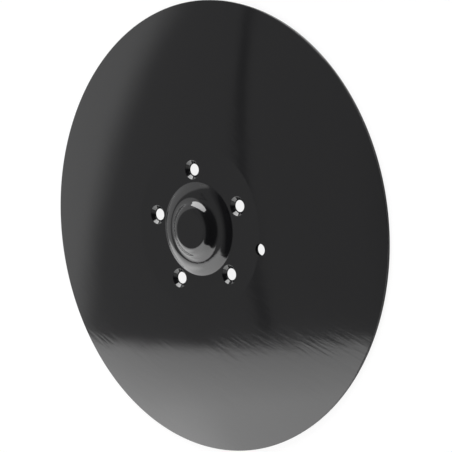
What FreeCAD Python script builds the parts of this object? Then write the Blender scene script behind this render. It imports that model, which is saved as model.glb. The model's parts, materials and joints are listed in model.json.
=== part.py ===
import FreeCAD, Part
import math
import os

os.makedirs("parts", exist_ok=True)

# Harrow disc blade, one pressed disc of hardened steel plate.
#
# The blade lies flat with its domed side up. Its axis is +Z, and the origin is on
# the axis at the height of the rim's lowest edge. A flat centre carries the bolt
# holes, a stepped boss is drawn up in the middle of it, and a shallow spherical
# dish falls away from the flat to the rim. The plate keeps one thickness all over,
# so the hollow side follows the domed side, and the boss is hollow below.
#
# The plate is the space between two forms of the same shape. The outer form ends at
# the domed side, and the inner form, one thickness further in, at the hollow side.

# Driving dimensions, in millimetres and degrees.

# Plate and rim. The rim is cut square to the plate, with both its edges broken.
disc_diameter = 460.0
plate_thickness = 4.0
rim_chamfer = 0.5

# Dish, a sphere of this radius on the domed side, and the flat cut across its top
dish_radius = 1350.0
flat_diameter = 168.0

# Centre boss: a first step, a narrow ledge and a crown. The diameters are those of
# its corners on the domed side, and each bend names its inside radius.
boss_base_diameter = 95.0
ledge_outer_diameter = 73.0
ledge_inner_diameter = 59.0
crown_diameter = 44.0
ledge_height = 6.2
crown_height = 12.0
boss_base_bend_radius = 2.5
ledge_outer_bend_radius = 10.0
ledge_inner_bend_radius = 4.0
crown_bend_radius = 8.0

# Countersunk bolt holes on one circle, the first of them on +Y
bolt_circle_diameter = 120.0
bolt_count = 5
bolt_hole_diameter = 12.0
first_bolt_angle = 90.0
countersink_angle = 90.0
countersink_land = 0.3
countersink_lip_radius = 0.6

# Plain hole for hanging the blade, midway between two bolt holes
hanging_hole_diameter = 12.0
hanging_hole_distance = 85.0
hanging_hole_pitches = -1.5

# How far a form or a cutter runs past the plate
overrun = 5.0

# Values worked out from the driving dimensions. The rim angle is measured at the
# centre of the dish's sphere, from the axis. The rim is widest where the upper
# chamfer meets the cut, and the lower chamfer's inner edge stands on the ground.

rim_angle = math.asin(disc_diameter / 2 / (dish_radius - rim_chamfer))
dish_centre_height = -(
    (dish_radius - plate_thickness) * math.cos(rim_angle) + rim_chamfer * math.sin(rim_angle)
)
flat_height = dish_centre_height + math.sqrt(dish_radius**2 - (flat_diameter / 2) ** 2)
hollow_flat_height = flat_height - plate_thickness

bolt_pitch = 360.0 / bolt_count
countersink_depth = plate_thickness - countersink_land
countersink_growth = math.tan(math.radians(countersink_angle / 2))

axis_foot = FreeCAD.Vector(0, 0, 0)
axis_up = FreeCAD.Vector(0, 0, 1)
dish_centre = FreeCAD.Vector(0, 0, dish_centre_height)


def section_point(radius, height):
    """Point of a section, at a radius from the axis and a height."""
    return FreeCAD.Vector(radius, 0, height)


def turned(edges):
    """Solid turned about the axis from a section with these edges."""
    return Part.Face(Part.Wire(edges)).revolve(axis_foot, axis_up, 360)


def arc_about(centre, start, end):
    """Arc about a centre from start to end, the short way round."""
    to_start = start - centre
    radius = to_start.Length
    to_middle = (to_start + (end - centre)).normalize()
    return Part.Arc(start, centre + to_middle * radius, end).toShape()


def rounded_line(corners, radii):
    """Edges of a line through the corners, with an arc at each inner corner."""
    edges = []
    start = corners[0]
    for before, corner, after, radius in zip(corners, corners[1:], corners[2:], radii):
        back = (before - corner).normalize()
        ahead = (after - corner).normalize()
        half_opening = back.getAngle(ahead) / 2
        run = radius / math.tan(half_opening)
        centre = corner + (back + ahead).normalize() * (radius / math.sin(half_opening))
        edges.append(Part.makeLine(start, corner + back * run))
        edges.append(arc_about(centre, corner + back * run, corner + ahead * run))
        start = corner + ahead * run
    edges.append(Part.makeLine(start, corners[-1]))
    return edges


def sunk_corner(before, corner, after, depth):
    """The corner of the same line drawn at a depth below the domed side."""
    first = (corner - before).normalize()
    second = (after - corner).normalize()
    first_normal = FreeCAD.Vector(-first.z, 0, first.x)
    second_normal = FreeCAD.Vector(-second.z, 0, second.x)
    shared = 1 + first_normal.dot(second_normal)
    return corner - (first_normal + second_normal) * (depth / shared)


def boss_form(depth):
    """Solid boss that stands on the flat, at a depth below the domed side."""
    crown_level = flat_height + crown_height
    ledge_level = flat_height + ledge_height
    line = [
        section_point(0, crown_level),
        section_point(crown_diameter / 2, crown_level),
        section_point(ledge_inner_diameter / 2, ledge_level),
        section_point(ledge_outer_diameter / 2, ledge_level),
        section_point(boss_base_diameter / 2, flat_height),
        section_point(flat_diameter / 2, flat_height),
    ]
    sunk = [sunk_corner(*three, depth) for three in zip(line, line[1:], line[2:])]
    corners = [line[0] - axis_up * depth, *sunk, line[-1] - axis_up * depth]
    radii = [
        crown_bend_radius + plate_thickness - depth,
        ledge_inner_bend_radius + depth,
        ledge_outer_bend_radius + plate_thickness - depth,
        boss_base_bend_radius + depth,
    ]
    # The last line lies in the flat, which the dish's form already has.
    *outline, _ = rounded_line(corners, radii)
    foot_on_axis = section_point(0, flat_height - depth)
    foot_of_base = outline[-1].Vertexes[-1].Point
    outline.append(Part.makeLine(foot_of_base, foot_on_axis))
    outline.append(Part.makeLine(foot_on_axis, corners[0]))
    return turned(outline)


def dish_form(depth):
    """Solid under the flat and the dish, at a depth below the domed side."""
    # The ball's poles lie level, so its seam runs underneath, clear of the plate.
    level = FreeCAD.Vector(-1, 0, 0)
    ball = Part.makeSphere(dish_radius - depth, dish_centre, level)
    reach = overrun + depth
    slab = Part.makeCylinder(
        disc_diameter / 2 + reach,
        flat_height - depth + reach,
        section_point(0, -reach),
    )
    return ball.common(slab)


def rim_cutter():
    """Ring that trims the dish square to the plate and breaks both edges of the cut."""
    across = FreeCAD.Vector(math.sin(rim_angle), 0, math.cos(rim_angle))
    outward = FreeCAD.Vector(math.cos(rim_angle), 0, -math.sin(rim_angle))
    upper = dish_centre + across * dish_radius
    lower = dish_centre + across * (dish_radius - plate_thickness)
    upper_slope = (across - outward) * overrun
    lower_slope = (across + outward) * overrun
    far = outward * (4 * overrun)
    corners = [
        upper - outward * rim_chamfer + upper_slope,
        upper - across * rim_chamfer,
        lower + across * rim_chamfer,
        lower - outward * rim_chamfer - lower_slope,
        lower - outward * rim_chamfer - lower_slope + far,
        upper - outward * rim_chamfer + upper_slope + far,
    ]
    return turned(Part.makePolygon([*corners, corners[0]]).Edges)


def pressed_plate():
    """The plate before its holes are cut."""
    outer_form = dish_form(0).fuse(boss_form(0))
    inner_form = dish_form(plate_thickness).fuse(boss_form(plate_thickness))
    return outer_form.cut(inner_form).cut(rim_cutter()).removeSplitter()


def at_polar(cutter, distance, angle):
    """The cutter moved out from the axis and turned about it."""
    moved = cutter.copy()
    moved.translate(FreeCAD.Vector(distance, 0, 0))
    moved.rotate(axis_foot, axis_up, angle)
    return moved


def bolt_hole_cutter():
    """Cutter for a through hole with a countersink that opens on the domed side."""
    hole_radius = bolt_hole_diameter / 2
    cone_height = countersink_depth + overrun
    shank = Part.makeCylinder(
        hole_radius,
        plate_thickness + 2 * overrun,
        section_point(0, hollow_flat_height - overrun),
    )
    cone = Part.makeCone(
        hole_radius,
        hole_radius + cone_height * countersink_growth,
        cone_height,
        section_point(0, hollow_flat_height + countersink_land),
    )
    return shank.fuse(cone)


def hanging_hole_cutter():
    """Cutter for the plain hole, which crosses the edge of the flat."""
    return Part.makeCylinder(
        hanging_hole_diameter / 2,
        plate_thickness + 4 * overrun,
        section_point(0, hollow_flat_height - 2 * overrun),
    )


def countersink_lips(blade):
    """The circles where the countersinks meet the domed side."""
    lip_radius = bolt_hole_diameter / 2 + countersink_depth * countersink_growth
    return [
        edge
        for edge in blade.Edges
        if isinstance(edge.Curve, Part.Circle)
        and math.isclose(edge.Curve.Radius, lip_radius, abs_tol=1e-4)
        and math.isclose(edge.Curve.Center.z, flat_height, abs_tol=1e-4)
    ]


def disc_blade():
    """The finished blade: pressed plate, bolt holes with eased lips, hanging hole."""
    cutters = [
        at_polar(
            bolt_hole_cutter(),
            bolt_circle_diameter / 2,
            first_bolt_angle + index * bolt_pitch,
        )
        for index in range(bolt_count)
    ]
    hanging_angle = first_bolt_angle + hanging_hole_pitches * bolt_pitch
    cutters.append(at_polar(hanging_hole_cutter(), hanging_hole_distance, hanging_angle))
    drilled = pressed_plate().cut(cutters)
    return drilled.makeFillet(countersink_lip_radius, countersink_lips(drilled))


blade = disc_blade()
blade.exportStep("parts/disc_blade.step")
print(f"disc_blade: {blade.Volume / 1000:.1f} cm3, {len(blade.Solids)} solid, valid {blade.isValid()}")
print(f"flat at {flat_height:.3f} mm on the domed side, {hollow_flat_height:.3f} mm on the hollow side")
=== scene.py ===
"""Harrow disc blade: one pressed steel disc in glossy black enamel.

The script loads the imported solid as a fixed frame, turns the blade's section into a fine
mesh that stands for it, dresses the mesh in enamel and lays it on a pale studio floor.
Sizes in the dataclasses are millimetres and degrees, and everything is built in metres.
"""

import bisect
import json
import logging
import math
from dataclasses import dataclass
from enum import Enum

import bpy
from mathutils import Euler, Matrix, Vector


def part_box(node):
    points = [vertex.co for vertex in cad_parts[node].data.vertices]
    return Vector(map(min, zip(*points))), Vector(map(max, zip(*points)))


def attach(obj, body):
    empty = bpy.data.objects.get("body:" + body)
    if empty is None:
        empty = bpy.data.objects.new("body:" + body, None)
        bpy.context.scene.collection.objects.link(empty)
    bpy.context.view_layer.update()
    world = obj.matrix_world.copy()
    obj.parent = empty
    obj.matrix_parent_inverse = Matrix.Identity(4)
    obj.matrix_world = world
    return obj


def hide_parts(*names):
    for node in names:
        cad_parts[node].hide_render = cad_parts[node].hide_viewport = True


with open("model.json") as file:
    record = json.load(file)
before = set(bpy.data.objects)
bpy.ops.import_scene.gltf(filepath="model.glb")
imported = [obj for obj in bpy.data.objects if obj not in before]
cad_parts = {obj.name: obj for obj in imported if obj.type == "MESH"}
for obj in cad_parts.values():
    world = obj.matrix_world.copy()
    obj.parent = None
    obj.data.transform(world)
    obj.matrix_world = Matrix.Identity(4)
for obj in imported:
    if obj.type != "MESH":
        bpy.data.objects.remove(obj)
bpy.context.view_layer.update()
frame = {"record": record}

LOG = logging.getLogger("disc_blade")
MM = 0.001
# Points nearer than this are one point, in metres in a tree and in millimetres in a section
SAME_PLACE = 1e-6

Sources = dict[str | int, "bpy.types.NodeSocket | object"]


# --------------------------------------------------------------------------------------
# Node graphs
# --------------------------------------------------------------------------------------


class Graph:
    """A node tree under construction, for geometry, a material or the world."""

    def __init__(self, tree: bpy.types.NodeTree) -> None:
        """Takes over a tree and empties it."""
        self.tree = tree
        tree.nodes.clear()

    @classmethod
    def group(cls, name: str, kind: str, inputs: dict[str, str], outputs: dict[str, str]) -> "Graph":
        """Starts a node group.

        Args:
            name: Name of the group.
            kind: Type of the tree.
            inputs: Names of the inputs, each with its socket type.
            outputs: Names of the outputs, each with its socket type.

        Returns:
            The graph, with its sockets made.
        """
        tree = bpy.data.node_groups.new(name, kind)
        for in_out, sockets in (("INPUT", inputs), ("OUTPUT", outputs)):
            for socket_name, socket_type in sockets.items():
                tree.interface.new_socket(socket_name, in_out=in_out, socket_type=socket_type)
        return cls(tree)

    def add(self, kind: str, sources: Sources | None = None, **settings: object) -> bpy.types.Node:
        """Adds a node.

        Args:
            kind: Type of the node.
            sources: For each input, by name or number, an output socket or a plain value.
            settings: Attributes of the node, set before its inputs.

        Returns:
            The new node.
        """
        node = self.tree.nodes.new(kind)
        for name, value in settings.items():
            setattr(node, name, value)
        for name, value in (sources or {}).items():
            if isinstance(value, bpy.types.NodeSocket):
                self.tree.links.new(value, node.inputs[name])
            else:
                node.inputs[name].default_value = value
        return node

    def math(self, operation: str, *values: "bpy.types.NodeSocket | float") -> bpy.types.NodeSocket:
        """Adds a maths node on those values and gives its result."""
        return self.add("ShaderNodeMath", dict(enumerate(values)), operation=operation).outputs[0]

    def vector_math(self, operation: str, *values: object) -> bpy.types.Node:
        """Adds a vector maths node on those values."""
        return self.add("ShaderNodeVectorMath", dict(enumerate(values)), operation=operation)


def set_input(modifier: bpy.types.Modifier, name: str, value: object) -> None:
    """Sets a modifier's input, found by its name, through its socket's identifier."""
    for item in modifier.node_group.interface.items_tree:
        if item.item_type == "SOCKET" and item.in_out == "INPUT" and item.name == name:
            modifier[item.identifier] = value
            return
    raise KeyError(name)


# --------------------------------------------------------------------------------------
# Sections: a line of stations, each with the direction in which its surface faces
# --------------------------------------------------------------------------------------


class Facing(Enum):
    """The side on which a surface lies from the middle of its arc."""

    OUT = 1.0
    IN = -1.0


@dataclass(frozen=True)
class Station:
    """One point of a section, as (radius, height), with the surface's normal there."""

    place: Vector
    normal: Vector


Line = list[Station]


def arc(centre: Vector, radius: float, start: float, end: float, steps: int, facing: Facing) -> Line:
    """Stations along an arc, the short way round.

    Args:
        centre: Middle of the arc, as (radius, height).
        radius: Radius of the arc.
        start: First angle from the upright, in radians, positive outwards.
        end: Last angle.
        steps: Number of equal steps between the two.
        facing: Whether the surface faces away from the middle or towards it.

    Returns:
        A station for each end of a step, in order.
    """
    sweep = math.remainder(end - start, math.tau)
    stations = []
    for step in range(steps + 1):
        angle = start + sweep * step / steps
        spoke = Vector((math.sin(angle), math.cos(angle)))
        stations.append(Station(centre + spoke * radius, spoke * facing.value))
    return stations


def straight(start: Vector, end: Vector, pitch: float) -> Line:
    """Stations along a straight line, whose surface faces to the left of its run.

    Args:
        start: First end, as (radius, height).
        end: Last end.
        pitch: Longest step between two stations.

    Returns:
        A station for each end of a step, in order.
    """
    run = end - start
    steps = max(1, math.ceil(run.length / pitch))
    ahead = run.normalized()
    normal = Vector((-ahead.y, ahead.x))
    return [Station(start + run * (step / steps), normal) for step in range(steps + 1)]


def bent_line(corners: list[Vector], radii: list[float], steps: int, pitch: float) -> Line:
    """Stations along a line with a bend at each inner corner.

    Args:
        corners: Corners of the line, ends included, as (radius, height).
        radii: Radius of the bend at each inner corner.
        steps: Steps in each bend.
        pitch: Longest step on the straights.

    Returns:
        The line's stations, with no point twice.
    """
    stations: Line = []
    start = corners[0]
    for before, corner, after, radius in zip(corners, corners[1:], corners[2:], radii):
        back = (before - corner).normalized()
        ahead = (after - corner).normalized()
        half_opening = back.angle(ahead) / 2
        run = radius / math.tan(half_opening)
        centre = corner + (back + ahead).normalized() * (radius / math.sin(half_opening))
        first = corner + back * run
        last = corner + ahead * run
        turns_up = back.y * ahead.x - back.x * ahead.y > 0
        stations += straight(start, first, pitch)[:-1]
        stations += arc(
            centre,
            radius,
            math.atan2(*(first - centre)),
            math.atan2(*(last - centre)),
            steps,
            Facing.IN if turns_up else Facing.OUT,
        )[:-1]
        start = last
    return stations + straight(start, corners[-1], pitch)


def sunk_corner(before: Vector, corner: Vector, after: Vector, depth: float) -> Vector:
    """The corner of the same line drawn at a depth below it."""
    first = (corner - before).normalized()
    second = (after - corner).normalized()
    first_normal = Vector((-first.y, first.x))
    second_normal = Vector((-second.y, second.x))
    return corner - (first_normal + second_normal) * (depth / (1 + first_normal.dot(second_normal)))


# --------------------------------------------------------------------------------------
# The blade's sizes and sections
# --------------------------------------------------------------------------------------


@dataclass(frozen=True)
class BladeSizes:
    """Sizes of the blade. Those that the frame gives are read from it."""

    diameter: float
    height: float
    thickness: float
    hollow_flat: float
    bolt_circle: float
    bolt_count: int
    bolt_hole: float
    hanging_hole: float
    hanging_place: Vector

    dish_radius: float = 1350.0
    rim_chamfer: float = 0.5
    rim_rounding: float = 0.6
    flat_diameter: float = 168.0
    flat_bend: float = 24.0
    boss_base_diameter: float = 95.0
    shoulder_diameter: float = 80.2
    neck_diameter: float = 60.0
    crown_diameter: float = 44.0
    shoulder_height: float = 4.1
    neck_height: float = 5.25
    boss_base_bend: float = 2.5
    shoulder_bend: float = 24.0
    neck_bend: float = 13.0
    crown_bend: float = 8.8
    first_bolt_angle: float = 90.0
    countersink_land: float = 0.3
    countersink_lip: float = 0.6

    @classmethod
    def of_frame(cls, record: dict, low: Vector, high: Vector) -> "BladeSizes":
        """Reads the sizes that the frame gives.

        Args:
            record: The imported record.
            low: Lowest corner of the solid's box, in metres.
            high: Highest corner.

        Returns:
            The blade's sizes.
        """
        mounts = {mount["name"]: mount for mount in record["mounts"]}
        bolts = mounts["hub_bolts"]
        hanging = mounts["hanging_hole"]
        return cls(
            diameter=(high.x - low.x) / MM,
            height=high.z / MM,
            thickness=hanging["dims"]["length_mm"],
            hollow_flat=bolts["pos_m"][2] / MM,
            bolt_circle=bolts["dims"]["pcd_mm"],
            bolt_count=bolts["dims"]["count"],
            bolt_hole=2 * bolts["dims"]["hole_r_mm"],
            hanging_hole=2 * hanging["dims"]["r_mm"],
            hanging_place=Vector(hanging["pos_m"][:2]) / MM,
        )

    @property
    def flat(self) -> float:
        """Height of the flat on the domed side."""
        return self.hollow_flat + self.thickness

    @property
    def dish_centre(self) -> Vector:
        """Middle of the dish's sphere, as (radius, height)."""
        return Vector((0.0, self.flat - math.sqrt(self.dish_radius**2 - (self.flat_diameter / 2) ** 2)))

    @property
    def rim_angle(self) -> float:
        """Angle of the rim's cut from the axis, at the middle of the dish's sphere."""
        return math.asin(self.diameter / 2 / (self.dish_radius - self.rim_chamfer))


@dataclass(frozen=True)
class PlateSection:
    """Section of the pressed plate, from the axis round the rim and back to the axis."""

    sizes: BladeSizes
    bend_steps: int = 10
    flat_bend_steps: int = 3
    dish_pitch: float = 2.6
    rim_steps: int = 5
    pitch: float = 2.6

    def boss_and_flat(self, depth: float) -> Line:
        """Stations from the axis to the bend at the edge of the flat, at a depth."""
        sizes = self.sizes
        corners = [
            Vector((0.0, sizes.height)),
            Vector((sizes.crown_diameter / 2, sizes.height)),
            Vector((sizes.neck_diameter / 2, sizes.flat + sizes.neck_height)),
            Vector((sizes.shoulder_diameter / 2, sizes.flat + sizes.shoulder_height)),
            Vector((sizes.boss_base_diameter / 2, sizes.flat)),
            Vector((self.flat_bend_middle.x, sizes.flat)),
        ]
        sunk = [sunk_corner(*three, depth) for three in zip(corners, corners[1:], corners[2:])]
        drop = Vector((0.0, depth))
        radii = [
            sizes.crown_bend + sizes.thickness - depth,
            sizes.neck_bend + depth,
            sizes.shoulder_bend + sizes.thickness - depth,
            sizes.boss_base_bend + depth,
        ]
        line = [corners[0] - drop, *sunk, corners[-1] - drop]
        return bent_line(line, radii, self.bend_steps, self.pitch)

    @property
    def flat_bend_middle(self) -> Vector:
        """Middle of the bend between the flat and the dish."""
        sizes = self.sizes
        height = sizes.flat - sizes.flat_bend
        rise = height - sizes.dish_centre.y
        return Vector((math.sqrt((sizes.dish_radius - sizes.flat_bend) ** 2 - rise**2), height))

    def bend_and_dish(self, depth: float) -> Line:
        """Stations from the edge of the flat to the rounding of the rim, at a depth."""
        sizes = self.sizes
        middle = self.flat_bend_middle
        bend_angle = math.atan2(*(middle - sizes.dish_centre))
        radius = sizes.dish_radius - depth
        bend_radius = sizes.flat_bend - depth
        bend = arc(middle, bend_radius, 0.0, bend_angle, self.flat_bend_steps, Facing.OUT)
        end_angle = self.rim_round_angle(depth)
        steps = math.ceil(radius * (end_angle - bend_angle) / self.dish_pitch)
        dish = arc(sizes.dish_centre, radius, bend_angle, end_angle, steps, Facing.OUT)
        return bend[:-1] + dish

    def rim_round_radius(self, depth: float) -> float:
        """Distance of the middle of a rim rounding from the middle of the dish."""
        inset = self.sizes.rim_rounding if depth == 0 else -self.sizes.rim_rounding
        return self.sizes.dish_radius - depth - inset

    def rim_round_angle(self, depth: float) -> float:
        """Angle of the middle of a rim rounding, at the middle of the dish."""
        return self.sizes.rim_angle - math.asin(self.sizes.rim_rounding / self.rim_round_radius(depth))

    def rim_round(self, depth: float) -> Line:
        """Stations round one edge of the rim, from its face to the cut or back."""
        angle = self.rim_round_angle(depth)
        spoke = Vector((math.sin(angle), math.cos(angle)))
        middle = self.sizes.dish_centre + spoke * self.rim_round_radius(depth)
        quarter = math.pi / 2
        start, end = (angle, self.sizes.rim_angle + quarter)
        if depth > 0:
            start, end = (self.sizes.rim_angle + quarter, angle + 2 * quarter)
        return arc(middle, self.sizes.rim_rounding, start, end, self.rim_steps, Facing.OUT)

    def domed_line(self) -> Line:
        """Stations of the domed side, from the axis to the rim."""
        return self.boss_and_flat(0.0)[:-1] + self.bend_and_dish(0.0)

    def hollow_line(self) -> Line:
        """Stations of the hollow side, from the axis to the rim, facing down."""
        depth = self.sizes.thickness
        line = self.boss_and_flat(depth)[:-1] + self.bend_and_dish(depth)
        return [Station(stop.place, -stop.normal) for stop in line]

    def closed(self) -> Line:
        """The whole section."""
        upper = self.rim_round(0.0)
        lower = self.rim_round(self.sizes.thickness)
        return self.domed_line()[:-1] + upper + lower + self.hollow_line()[-2::-1]


@dataclass(frozen=True)
class BoltHoleSection:
    """Section of a bolt hole, from its bore up through the countersink and its lip."""

    sizes: BladeSizes
    overrun: float = 3.0
    lip_steps: int = 7
    lip_rest: float = 6.0
    lip_run: float = 0.1
    bore_pitch: float = 9.0
    cone_pitch: float = 1.5

    def wall(self) -> Line:
        """Stations of the hole's wall, facing the hole, from the hollow side up."""
        sizes = self.sizes
        bore = sizes.bolt_hole / 2
        land = sizes.hollow_flat + sizes.countersink_land
        mouth = bore + sizes.flat - land
        eighth = math.pi / 4
        lip = sizes.countersink_lip
        middle = Vector((mouth + lip * math.tan(eighth / 2), sizes.flat - lip))
        rest = math.radians(self.lip_rest)
        rounding = arc(middle, lip, -eighth, -rest, self.lip_steps, Facing.OUT)
        foot = Vector((bore, sizes.hollow_flat - self.overrun))
        neck = Vector((bore, land))
        bore_wall = straight(foot, neck, self.bore_pitch)
        cone = straight(neck, rounding[0].place, self.cone_pitch)
        return bore_wall + cone[:-1] + rounding

    def cutter(self) -> Line:
        """The wall, closed to the hole's axis above and below the plate, from the top down."""
        wall = self.wall()
        merged = [wall[0]]
        for before, stop in zip(wall, wall[1:]):
            if (stop.place - before.place).length > SAME_PLACE:
                merged.append(stop)
        up = Vector((0.0, 1.0))
        slope = Vector((1.0, math.tan(math.radians(self.lip_rest))))
        edge = merged[-1].place + slope * self.lip_run
        top = edge + up * self.overrun
        return [
            Station(Vector((0.0, top.y)), up),
            Station(top, up),
            Station(edge, up),
            *reversed(merged),
            Station(Vector((0.0, merged[0].place.y)), -up),
        ]


@dataclass(frozen=True)
class HangingHoleSection:
    """Section of the plain hole near the edge of the flat."""

    sizes: BladeSizes
    overrun: float = 4.0

    def cutter(self) -> Line:
        """A cylinder that runs past both faces of the plate, from the top down."""
        radius = self.sizes.hanging_hole / 2
        low = self.sizes.hollow_flat - self.overrun
        high = self.sizes.flat + self.overrun
        up = Vector((0.0, 1.0))
        return [
            Station(Vector((0.0, high)), up),
            Station(Vector((radius, high)), up),
            Station(Vector((radius, low)), -up),
            Station(Vector((0.0, low)), -up),
        ]


# --------------------------------------------------------------------------------------
# The blade's geometry tree
# --------------------------------------------------------------------------------------


def turning_tree() -> bpy.types.NodeTree:
    """A tree that turns a section about +Z into a closed form.

    The section lies in the XZ plane, from the axis outwards and back to the axis. It is
    run along a small circle, so its radii are first measured from that circle.
    """
    graph = Graph.group(
        "turned_form",
        "GeometryNodeTree",
        {"Section": "NodeSocketGeometry", "Steps": "NodeSocketInt", "Circle Radius": "NodeSocketFloat"},
        {"Form": "NodeSocketGeometry"},
    )
    entry = graph.add("NodeGroupInput").outputs
    parts = graph.add("ShaderNodeSeparateXYZ", {0: graph.add("GeometryNodeInputPosition").outputs[0]})
    outwards = graph.math("SUBTRACT", parts.outputs["X"], entry["Circle Radius"])
    downwards = graph.math("MULTIPLY", parts.outputs["Z"], -1.0)
    place = graph.add("ShaderNodeCombineXYZ", {"X": outwards, "Y": downwards})
    profile = graph.add(
        "GeometryNodeSetPosition", {"Geometry": entry["Section"], "Position": place.outputs[0]}
    )
    line = graph.add("GeometryNodeMeshToCurve", {"Mesh": profile.outputs[0]})
    circle = graph.add(
        "GeometryNodeCurvePrimitiveCircle", {"Resolution": entry["Steps"], "Radius": entry["Circle Radius"]}
    )
    form = graph.add(
        "GeometryNodeCurveToMesh", {"Curve": circle.outputs[0], "Profile Curve": line.outputs[0]}
    )
    closed = graph.add("GeometryNodeMergeByDistance", {"Geometry": form.outputs[0], "Distance": SAME_PLACE})
    graph.add("NodeGroupOutput", {"Form": closed.outputs[0]})
    return graph.tree


def ring_tree() -> bpy.types.NodeTree:
    """A tree that sets copies of a form evenly on a circle about +Z."""
    graph = Graph.group(
        "ring_of_forms",
        "GeometryNodeTree",
        {
            "Form": "NodeSocketGeometry",
            "Count": "NodeSocketInt",
            "Radius": "NodeSocketFloat",
            "First Angle": "NodeSocketFloat",
        },
        {"Ring": "NodeSocketGeometry"},
    )
    entry = graph.add("NodeGroupInput").outputs
    index = graph.add("GeometryNodeInputIndex").outputs[0]
    share = graph.math("DIVIDE", index, entry["Count"])
    angle = graph.math("MULTIPLY_ADD", share, math.tau, entry["First Angle"])
    spoke = graph.add("ShaderNodeCombineXYZ", {"X": entry["Radius"]})
    place = graph.add(
        "ShaderNodeVectorRotate", {"Vector": spoke.outputs[0], "Angle": angle}, rotation_type="Z_AXIS"
    )
    spots = graph.add("GeometryNodePoints", {"Count": entry["Count"], "Position": place.outputs[0]})
    copies = graph.add(
        "GeometryNodeInstanceOnPoints", {"Points": spots.outputs[0], "Instance": entry["Form"]}
    )
    ring = graph.add("GeometryNodeRealizeInstances", {"Geometry": copies.outputs[0]})
    graph.add("NodeGroupOutput", {"Ring": ring.outputs[0]})
    return graph.tree


def blade_tree() -> bpy.types.NodeTree:
    """A tree that turns the plate's section and pierces the plate with its holes."""
    graph = Graph.group(
        "disc_blade",
        "GeometryNodeTree",
        {
            "Section": "NodeSocketGeometry",
            "Plate Steps": "NodeSocketInt",
            "Hole Steps": "NodeSocketInt",
            "Circle Radius": "NodeSocketFloat",
            "Bolt Cutter": "NodeSocketObject",
            "Bolt Count": "NodeSocketInt",
            "Bolt Radius": "NodeSocketFloat",
            "Bolt Angle": "NodeSocketFloat",
            "Hanging Cutter": "NodeSocketObject",
            "Hanging Count": "NodeSocketInt",
            "Hanging Radius": "NodeSocketFloat",
            "Hanging Angle": "NodeSocketFloat",
            "Material": "NodeSocketMaterial",
        },
        {"Blade": "NodeSocketGeometry"},
    )
    turned = turning_tree()
    ring = ring_tree()
    entry = graph.add("NodeGroupInput").outputs
    circle = entry["Circle Radius"]
    plate = graph.add(
        "GeometryNodeGroup",
        {"Section": entry["Section"], "Steps": entry["Plate Steps"], "Circle Radius": circle},
        node_tree=turned,
    )
    pierced = plate.outputs[0]
    for hole in ("Bolt", "Hanging"):
        wire = graph.add("GeometryNodeObjectInfo", {"Object": entry[f"{hole} Cutter"]})
        cutter = graph.add(
            "GeometryNodeGroup",
            {"Section": wire.outputs["Geometry"], "Steps": entry["Hole Steps"], "Circle Radius": circle},
            node_tree=turned,
        )
        cutters = graph.add(
            "GeometryNodeGroup",
            {
                "Form": cutter.outputs[0],
                "Count": entry[f"{hole} Count"],
                "Radius": entry[f"{hole} Radius"],
                "First Angle": entry[f"{hole} Angle"],
            },
            node_tree=ring,
        )
        pierced = graph.add(
            "GeometryNodeMeshBoolean",
            {"Mesh 1": pierced, "Mesh 2": cutters.outputs[0]},
            operation="DIFFERENCE",
            solver="EXACT",
        ).outputs[0]
    whole = graph.add("GeometryNodeRealizeInstances", {"Geometry": pierced})
    dressed = graph.add(
        "GeometryNodeSetMaterial", {"Geometry": whole.outputs[0], "Material": entry["Material"]}
    )
    graph.add("NodeGroupOutput", {"Blade": dressed.outputs[0]})
    return graph.tree


# --------------------------------------------------------------------------------------
# The blade
# --------------------------------------------------------------------------------------


class NormalLine:
    """Looks a section's normal up by one coordinate along which the section advances."""

    def __init__(self, line: Line, axis: int) -> None:
        """Sorts the stations by coordinate.

        Args:
            line: Stations of the section.
            axis: 0 to look up by radius, 1 by height.
        """
        rows = sorted((stop.place[axis], index) for index, stop in enumerate(line))
        self.keys = [key for key, _ in rows]
        self.normals = [line[index].normal for _, index in rows]

    def at(self, key: float) -> Vector:
        """The normal at that coordinate, between the two nearest stations."""
        after = min(max(bisect.bisect_left(self.keys, key), 1), len(self.keys) - 1)
        low, high = self.keys[after - 1], self.keys[after]
        share = 0.0 if high - low < SAME_PLACE else min(max((key - low) / (high - low), 0.0), 1.0)
        return self.normals[after - 1].lerp(self.normals[after], share).normalized()


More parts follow.
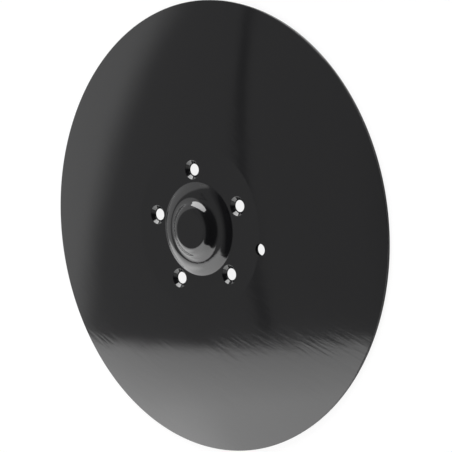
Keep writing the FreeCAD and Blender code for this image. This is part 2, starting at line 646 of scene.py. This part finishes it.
@dataclass(frozen=True)
class DiscBlade:
    """The blade's visual model: a turned plate with its holes, shaded by its true form."""

    sizes: BladeSizes
    plate_steps: int = 288
    hole_steps: int = 72
    circle_radius: float = 100.0
    lip_margin: float = 0.02
    floor_margin: float = 0.001
    rim_margin: float = 0.05
    rim_reach: float = 1.2

    def build(self, finish: bpy.types.Material) -> bpy.types.Object:
        """Builds the blade and dresses it.

        Args:
            finish: Material of the whole blade.

        Returns:
            The finished piece, which rides on the root body and replaces the solid.
        """
        section = self.wire("blade_section", PlateSection(self.sizes).closed())
        bolt = self.wire("bolt_cutter", BoltHoleSection(self.sizes).cutter())
        hanging = self.wire("hanging_cutter", HangingHoleSection(self.sizes).cutter())
        modifier = section.modifiers.new("blade", "NODES")
        modifier.node_group = blade_tree()
        hanging_place = self.sizes.hanging_place
        inputs = {
            "Plate Steps": self.plate_steps,
            "Hole Steps": self.hole_steps,
            "Circle Radius": self.circle_radius * MM,
            "Bolt Cutter": bolt,
            "Bolt Count": self.sizes.bolt_count,
            "Bolt Radius": self.sizes.bolt_circle / 2 * MM,
            "Bolt Angle": math.radians(self.sizes.first_bolt_angle),
            "Hanging Cutter": hanging,
            "Hanging Count": 1,
            "Hanging Radius": hanging_place.length * MM,
            "Hanging Angle": math.atan2(hanging_place.y, hanging_place.x),
            "Material": finish,
        }
        for name, value in inputs.items():
            set_input(modifier, name, value)
        depsgraph = bpy.context.evaluated_depsgraph_get()
        mesh = bpy.data.meshes.new_from_object(section.evaluated_get(depsgraph))
        section.modifiers.clear()
        for helper in (section, bolt, hanging):
            bpy.data.objects.remove(helper)
        mesh.name = "enamelled_blade"
        self.shade(mesh)
        blade = bpy.data.objects.new("enamelled_blade", mesh)
        bpy.context.scene.collection.objects.link(blade)
        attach(blade, "root")
        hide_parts("disc_blade")
        return blade

    def wire(self, name: str, line: Line) -> bpy.types.Object:
        """An object that holds a section as a line of edges in the XZ plane."""
        mesh = bpy.data.meshes.new(name)
        points = [(stop.place.x * MM, 0.0, stop.place.y * MM) for stop in line]
        mesh.from_pydata(points, [(index, index + 1) for index in range(len(points) - 1)], [])
        wire = bpy.data.objects.new(name, mesh)
        bpy.context.scene.collection.objects.link(wire)
        return wire

    def shade(self, mesh: bpy.types.Mesh) -> None:
        """Gives every corner of every face the normal of the true form."""
        sizes = self.sizes
        plate = PlateSection(sizes)
        rim_start = plate.domed_line()[-1].place.x
        domed = NormalLine(plate.domed_line(), 0)
        hollow = NormalLine(plate.hollow_line(), 0)
        rim = NormalLine(plate.rim_round(0.0) + plate.rim_round(sizes.thickness), 1)
        hole = NormalLine(BoltHoleSection(sizes).wall(), 1)
        lip_radius = BoltHoleSection(sizes).wall()[-1].place.x
        bolts = [
            Matrix.Rotation(math.radians(sizes.first_bolt_angle) + math.tau * index / sizes.bolt_count, 2)
            @ Vector((sizes.bolt_circle / 2, 0.0))
            for index in range(sizes.bolt_count)
        ]
        normals: list[Vector] = []
        for face in mesh.polygons:
            middle = face.center / MM
            flat_middle = middle.xy
            bolt = min(bolts, key=lambda place: (place - flat_middle).length)
            inside_lip = (bolt - flat_middle).length < lip_radius + self.lip_margin
            on_bolt = inside_lip and middle.z > sizes.hollow_flat + self.floor_margin
            in_hanging = (sizes.hanging_place - flat_middle).length < sizes.hanging_hole / 2
            for index in face.vertices:
                point = mesh.vertices[index].co / MM
                if on_bolt:
                    spoke = point.xy - bolt
                    normal = hole.at(point.z)
                    spread = spoke.normalized() * -abs(normal.x)
                    normals.append(Vector((spread.x, spread.y, normal.y)))
                elif in_hanging:
                    spoke = (point.xy - sizes.hanging_place).normalized()
                    normals.append(Vector((-spoke.x, -spoke.y, 0.0)))
                else:
                    radius = point.xy.length
                    past_dish = middle.xy.length > rim_start - self.rim_margin
                    if past_dish and radius > rim_start - self.rim_reach:
                        normal = rim.at(point.z)
                    else:
                        normal = (domed if face.normal.z > 0 else hollow).at(radius)
                    spoke = point.xy.normalized() if radius > SAME_PLACE else Vector((0.0, 0.0))
                    normals.append(Vector((spoke.x * normal.x, spoke.y * normal.x, normal.y)))
        mesh.polygons.foreach_set("use_smooth", [True] * len(mesh.polygons))
        mesh.normals_split_custom_set(normals)


# --------------------------------------------------------------------------------------
# Finishes
# --------------------------------------------------------------------------------------


def marks_group() -> bpy.types.NodeTree:
    """A group that puts out a height of long, narrow marks which run one way."""
    graph = Graph.group(
        "running_marks",
        "ShaderNodeTree",
        {
            "Vector": "NodeSocketVector",
            "Angle": "NodeSocketFloat",
            "Length": "NodeSocketFloat",
            "Width": "NodeSocketFloat",
            "Patch Size": "NodeSocketFloat",
        },
        {"Height": "NodeSocketFloat"},
    )
    entry = graph.add("NodeGroupInput").outputs
    turned = graph.add(
        "ShaderNodeVectorRotate",
        {"Vector": entry["Vector"], "Angle": graph.math("MULTIPLY", entry["Angle"], -1.0)},
        rotation_type="Z_AXIS",
    )
    pitch = graph.add(
        "ShaderNodeCombineXYZ",
        {"X": entry["Length"], "Y": entry["Width"], "Z": entry["Length"]},
    )
    stretched = graph.vector_math("DIVIDE", turned.outputs[0], pitch.outputs[0])
    marks = graph.add(
        "ShaderNodeTexNoise",
        {"Vector": stretched.outputs[0], "Scale": 1.0, "Detail": 3.0, "Roughness": 0.55},
    )
    calm, busy, faintest, noise_middle = 0.38, 0.62, 0.35, 0.5
    patch_pitch = graph.math("DIVIDE", 1.0, entry["Patch Size"])
    patches = graph.add(
        "ShaderNodeTexNoise", {"Vector": entry["Vector"], "Scale": patch_pitch, "Detail": 1.0}
    )
    strength = graph.add(
        "ShaderNodeMapRange",
        {
            "Value": patches.outputs[0],
            "From Min": calm,
            "From Max": busy,
            "To Min": faintest,
            "To Max": 1.0,
        },
        interpolation_type="SMOOTHSTEP",
    )
    level = graph.math("SUBTRACT", marks.outputs[0], noise_middle)
    height = graph.math("MULTIPLY", level, strength.outputs[0])
    graph.add("NodeGroupOutput", {"Height": height})
    return graph.tree


@dataclass(frozen=True)
class Enamel:
    """Glossy black enamel, sprayed over rolled and pressed plate."""

    colour: tuple[float, float, float] = (0.010, 0.010, 0.011)
    roughness: float = 0.07
    smoothest: float = 0.8
    roughest: float = 1.25
    mottle_low: float = 0.3
    mottle_high: float = 0.7
    refraction: float = 1.8
    mark_angle: float = -31.0
    mark_length: float = 30.0
    mark_width: float = 4.2
    mark_depth: float = 0.062
    patch_size: float = 90.0
    peel_size: float = 3.0
    peel_depth: float = 0.006
    wave_size: float = 70.0
    wave_depth: float = 0.12

    def material(self) -> bpy.types.Material:
        """Builds the material."""
        material = bpy.data.materials.new("glossy_black_enamel")
        material.use_nodes = True
        graph = Graph(material.node_tree)
        place = graph.add("ShaderNodeTexCoord").outputs["Object"]
        marks = graph.add(
            "ShaderNodeGroup",
            {
                "Vector": place,
                "Angle": math.radians(self.mark_angle),
                "Length": self.mark_length * MM,
                "Width": self.mark_width * MM,
                "Patch Size": self.patch_size * MM,
            },
            node_tree=marks_group(),
        )
        wave = graph.add(
            "ShaderNodeTexNoise", {"Vector": place, "Scale": 1 / (self.wave_size * MM), "Detail": 1.0}
        )
        peel = graph.add(
            "ShaderNodeTexNoise", {"Vector": place, "Scale": 1 / (self.peel_size * MM), "Detail": 2.0}
        )
        normal = None
        for height, depth in (
            (wave.outputs[0], self.wave_depth),
            (marks.outputs[0], self.mark_depth),
            (peel.outputs[0], self.peel_depth),
        ):
            sources = {"Height": height, "Distance": depth * MM, "Strength": 1.0}
            if normal is not None:
                sources["Normal"] = normal
            normal = graph.add("ShaderNodeBump", sources).outputs[0]
        mottle = graph.add(
            "ShaderNodeTexNoise", {"Vector": place, "Scale": 1 / (self.patch_size * MM), "Detail": 4.0}
        )
        roughness = graph.add(
            "ShaderNodeMapRange",
            {
                "Value": mottle.outputs[0],
                "From Min": self.mottle_low,
                "From Max": self.mottle_high,
                "To Min": self.roughness * self.smoothest,
                "To Max": self.roughness * self.roughest,
            },
        )
        shader = graph.add(
            "ShaderNodeBsdfPrincipled",
            {
                "Base Color": (*self.colour, 1.0),
                "Roughness": roughness.outputs[0],
                "IOR": self.refraction,
                "Normal": normal,
            },
        )
        graph.add("ShaderNodeOutputMaterial", {"Surface": shader.outputs[0]})
        return material


# --------------------------------------------------------------------------------------
# Studio
# --------------------------------------------------------------------------------------


@dataclass(frozen=True)
class Panel:
    """A soft-edged panel round the studio, seen only as light and in reflections.

    Its middle is given by azimuth from the blade's axis and by elevation, its half sizes
    at unit distance, and `lowest` is the height below which none of it shows.
    """

    azimuth: float
    elevation: float
    half_width: float
    half_height: float
    softness: float
    radiance: float
    lowest: float = -1.1


@dataclass(frozen=True)
class Field:
    """A field that fills one side of a plane through the blade, and changes with depth.

    Its brightness runs from `near` at the soft edge to `far` at that depth past the edge.
    """

    normal: tuple[float, float, float]
    edge: float
    near: float
    far: float
    depth: float


def panel_group() -> bpy.types.NodeTree:
    """A group that puts out the brightness of one panel in a direction."""
    graph = Graph.group(
        "studio_panel",
        "ShaderNodeTree",
        {
            "Direction": "NodeSocketVector",
            "Rotation": "NodeSocketVector",
            "Half Width": "NodeSocketFloat",
            "Half Height": "NodeSocketFloat",
            "Softness": "NodeSocketFloat",
            "Radiance": "NodeSocketFloat",
            "Lowest": "NodeSocketFloat",
        },
        {"Light": "NodeSocketFloat"},
    )
    entry = graph.add("NodeGroupInput").outputs
    faced = graph.add(
        "ShaderNodeVectorRotate",
        {"Vector": entry["Direction"], "Rotation": entry["Rotation"]},
        rotation_type="EULER_XYZ",
        invert=True,
    )
    parts = graph.add("ShaderNodeSeparateXYZ", {0: faced.outputs[0]}).outputs
    least_ahead, panel_horizon = 1e-4, 0.01
    ahead = graph.math("MAXIMUM", parts["Z"], least_ahead)
    light = entry["Radiance"]
    for axis, half in (("X", "Half Width"), ("Y", "Half Height")):
        offset = graph.math("ABSOLUTE", graph.math("DIVIDE", parts[axis], ahead))
        inner = graph.math("SUBTRACT", entry[half], entry["Softness"])
        outer = graph.math("ADD", entry[half], entry["Softness"])
        edge = graph.add(
            "ShaderNodeMapRange",
            {"Value": offset, "From Min": inner, "From Max": outer, "To Min": 1.0, "To Max": 0.0},
            interpolation_type="SMOOTHSTEP",
        )
        light = graph.math("MULTIPLY", light, edge.outputs[0])
    front = graph.math("GREATER_THAN", parts["Z"], panel_horizon)
    height = graph.add("ShaderNodeSeparateXYZ", {0: entry["Direction"]}).outputs["Y"]
    shown = graph.math("MULTIPLY", front, graph.math("GREATER_THAN", height, entry["Lowest"]))
    graph.add("NodeGroupOutput", {"Light": graph.math("MULTIPLY", light, shown)})
    return graph.tree


@dataclass(frozen=True)
class Floor:
    """A pale floor, which looks white where no shadow falls on it."""

    size: float = 12000.0
    colour: float = 0.8
    camera_share: float = 0.8
    camera_white: float = 1.12

    def build(self) -> bpy.types.Object:
        """Builds the floor at the height of the blade's lowest edge."""
        half = self.size / 2 * MM
        mesh = bpy.data.meshes.new("studio_floor")
        corners = [(-half, -half, 0.0), (half, -half, 0.0), (half, half, 0.0), (-half, half, 0.0)]
        mesh.from_pydata(corners, [], [(0, 1, 2, 3)])
        floor = bpy.data.objects.new("studio_floor", mesh)
        bpy.context.scene.collection.objects.link(floor)
        mesh.materials.append(self.material())
        return floor

    def material(self) -> bpy.types.Material:
        """A diffuse floor that the camera sees partly by its own light."""
        material = bpy.data.materials.new("pale_floor")
        material.use_nodes = True
        graph = Graph(material.node_tree)
        lit = graph.add("ShaderNodeBsdfDiffuse", {"Color": (self.colour,) * 3 + (1.0,)})
        glow = graph.add("ShaderNodeEmission", {"Color": (self.camera_white,) * 3 + (1.0,), "Strength": 1.0})
        paths = graph.add("ShaderNodeLightPath").outputs
        share = graph.math("MULTIPLY", paths["Is Camera Ray"], self.camera_share)
        mix = graph.add("ShaderNodeMixShader", {0: share, 1: lit.outputs[0], 2: glow.outputs[0]})
        graph.add("ShaderNodeOutputMaterial", {"Surface": mix.outputs[0]})
        return material


@dataclass(frozen=True)
class View:
    """The camera's place. Its angles are measured from the blade's axis."""

    lean: float = 44.4
    lift: float = 1.11
    roll: float = -6.52
    distance: float = 1863.0
    from_height: float = 3.95
    lens: float = 145.6
    aim_across: float = 16.0
    aim_up: float = 1.22
    reach: float = 50.0

    def build(self) -> bpy.types.Object:
        """Places the camera and makes it the scene's."""
        lean, lift, roll = (math.radians(angle) for angle in (self.lean, self.lift, self.roll))
        towards = Vector(
            (math.sin(lean) * math.cos(lift), math.sin(lift), math.cos(lean) * math.cos(lift))
        )
        level_right = Vector((math.cos(lean), 0.0, -math.sin(lean)))
        level_up = towards.cross(level_right)
        right = math.cos(roll) * level_right + math.sin(roll) * level_up
        upright = math.cos(roll) * level_up - math.sin(roll) * level_right
        foot = Vector((0.0, 0.0, self.from_height))
        place = foot + towards * self.distance
        aim = foot + right * self.aim_across + upright * self.aim_up
        back = (place - aim).normalized()
        across = upright.cross(back).normalized()
        up = back.cross(across)
        turn = Matrix((across, up, back)).transposed().to_4x4()
        data = bpy.data.cameras.new("camera")
        data.lens = self.lens
        data.clip_end = self.reach
        camera = bpy.data.objects.new("camera", data)
        camera.matrix_world = Matrix.Translation(place * MM) @ turn
        bpy.context.scene.collection.objects.link(camera)
        bpy.context.scene.camera = camera
        return camera


@dataclass(frozen=True)
class Studio:
    """Floor, camera and light. The light is set by direction round the blade."""

    room: Field = Field(normal=(-0.996, 0.0, -0.087), edge=0.05, near=0.04, far=0.20, depth=0.30)
    wall: Field = Field(normal=(-0.401, 0.519, -0.755), edge=0.05, near=0.42, far=0.32, depth=0.50)
    table: Field = Field(normal=(0.070, -1.0, -0.238), edge=0.010, near=1.05, far=1.70, depth=0.10)
    table_end: Field = Field(normal=(-1.0, -0.65, -0.62), edge=0.030, near=1.0, far=1.0, depth=1.0)
    overhead_lamp: Panel = Panel(
        azimuth=-26.5,
        elevation=62.0,
        half_width=0.51,
        half_height=0.45,
        softness=0.02,
        radiance=4.5,
        lowest=0.705,
    )
    table_corner: Panel = Panel(
        azimuth=-64.0, elevation=-24.0, half_width=0.20, half_height=0.08, softness=0.10, radiance=0.9
    )
    dark_gap: Panel = Panel(
        azimuth=-37.5, elevation=4.0, half_width=0.013, half_height=0.28, softness=0.008, radiance=-0.13
    )
    far_lamp: Panel = Panel(
        azimuth=90.0, elevation=40.0, half_width=0.55, half_height=0.45, softness=0.25, radiance=1.0
    )
    low_far_lamp: Panel = Panel(
        azimuth=78.0, elevation=-40.0, half_width=0.55, half_height=0.45, softness=0.25, radiance=1.0
    )
    camera_world: float = 1.0

    def build(self) -> None:
        """Builds the whole studio."""
        Floor().build()
        View().build()
        self.world()
        bpy.context.scene.view_settings.view_transform = "Standard"

    @staticmethod
    def field(graph: Graph, direction: bpy.types.NodeSocket, field: Field) -> bpy.types.NodeSocket:
        """Puts out the brightness of one field in a direction."""
        normal = Vector(field.normal).normalized()
        inside = graph.vector_math("DOT_PRODUCT", direction, tuple(normal)).outputs["Value"]
        share = graph.add(
            "ShaderNodeMapRange",
            {"Value": inside, "From Min": -field.edge, "From Max": field.edge},
            interpolation_type="SMOOTHSTEP",
        ).outputs[0]
        level = graph.add(
            "ShaderNodeMapRange",
            {
                "Value": inside,
                "From Min": 0.0,
                "From Max": field.depth,
                "To Min": field.near,
                "To Max": field.far,
            },
        ).outputs[0]
        return graph.math("MULTIPLY", share, level)

    def world(self) -> None:
        """Builds the light round the blade, by direction."""
        world = bpy.data.worlds.new("studio_light")
        world.use_nodes = True
        bpy.context.scene.world = world
        graph = Graph(world.node_tree)
        direction = graph.add("ShaderNodeTexCoord").outputs["Generated"]
        room, wall, table, table_end = (
            self.field(graph, direction, field)
            for field in (self.room, self.wall, self.table, self.table_end)
        )
        table_light = graph.math("MULTIPLY", table, table_end)
        light = graph.math("ADD", graph.math("ADD", room, wall), table_light)
        group = panel_group()
        for panel in (
            self.overhead_lamp,
            self.table_corner,
            self.dark_gap,
            self.far_lamp,
            self.low_far_lamp,
        ):
            facing = Euler((-math.radians(panel.elevation), math.radians(panel.azimuth), 0.0), "XYZ")
            shown = graph.add(
                "ShaderNodeGroup",
                {
                    "Direction": direction,
                    "Rotation": tuple(facing),
                    "Half Width": panel.half_width,
                    "Half Height": panel.half_height,
                    "Softness": panel.softness,
                    "Radiance": panel.radiance,
                    "Lowest": panel.lowest,
                },
                node_tree=group,
            )
            light = graph.math("ADD", light, shown.outputs[0])
        seen = graph.add("ShaderNodeLightPath").outputs["Is Camera Ray"]
        level = graph.add("ShaderNodeMix", {0: seen, 2: light, 3: self.camera_world}).outputs[0]
        background = graph.add("ShaderNodeBackground", {"Color": (1.0, 1.0, 1.0, 1.0), "Strength": level})
        graph.add("ShaderNodeOutputWorld", {"Surface": background.outputs[0]})


# --------------------------------------------------------------------------------------
# Everything in order
# --------------------------------------------------------------------------------------


def main() -> None:
    """Builds the blade and its studio, and reports the blade's face count and plate diameter."""
    logging.basicConfig(level=logging.INFO, format="%(name)s: %(message)s")
    low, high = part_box("disc_blade")
    sizes = BladeSizes.of_frame(frame["record"], low, high)
    blade = DiscBlade(sizes).build(Enamel().material())
    LOG.info("%s: %d faces on a %.0f mm plate", blade.name, len(blade.data.polygons), sizes.diameter)
    Studio().build()


if __name__ == "__main__":
    main()
